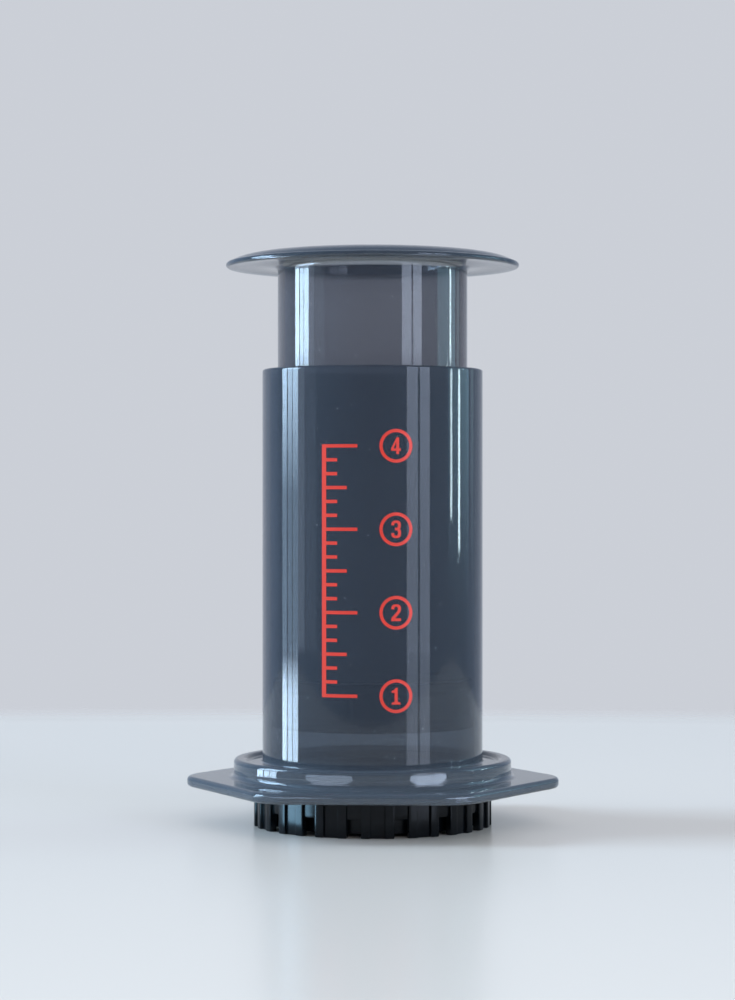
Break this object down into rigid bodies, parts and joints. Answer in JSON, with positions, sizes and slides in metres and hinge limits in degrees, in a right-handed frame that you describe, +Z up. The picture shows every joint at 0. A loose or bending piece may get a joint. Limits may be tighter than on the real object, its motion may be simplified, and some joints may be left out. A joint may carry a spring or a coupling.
{
  "type": "piston coffee press",
  "caption": "Hand coffee press: a hollow plunger with a rubber seal slides in a smoke-grey tube with a hexagonal flange, above a twist-lock perforated filter cap.",
  "frame": {"origin": "on the table, under the middle of the press, at the centre of the bottom of its bounding box", "axes": "+Z up along the plunger's travel, -Y the front with the printed scale, +X towards a corner of the hexagonal flange"},
  "size_m": [0.108, 0.097, 0.1655],
  "materials": {
    "chamber_plastic": "polished translucent polypropylene",
    "plunger_plastic": "polished translucent polypropylene",
    "seal_rubber": "moulded black rubber",
    "cap_plastic": "moulded black polypropylene",
    "filter_paper": "pressed white filter paper",
    "print_ink": "pad-printed red ink"
  },
  "bodies": {
    "chamber": {"chamber": "chamber_plastic"},
    "plunger": {"plunger": "plunger_plastic", "plunger_seal": "seal_rubber"},
    "filter_cap": {"filter_cap": "cap_plastic", "paper_filter": "filter_paper"}
  },
  "joints": [
    {"name": "plunger_slide", "type": "slide", "parent": "chamber", "child": "plunger", "axis": [0, 0, 1], "range_m": [-0.02, 0.11]},
    {"name": "cap_twist", "type": "hinge", "parent": "chamber", "child": "filter_cap", "pos_m": [0, 0, 0.011], "axis": [0, 0, -1], "range_deg": [0, 20]}
  ]
}
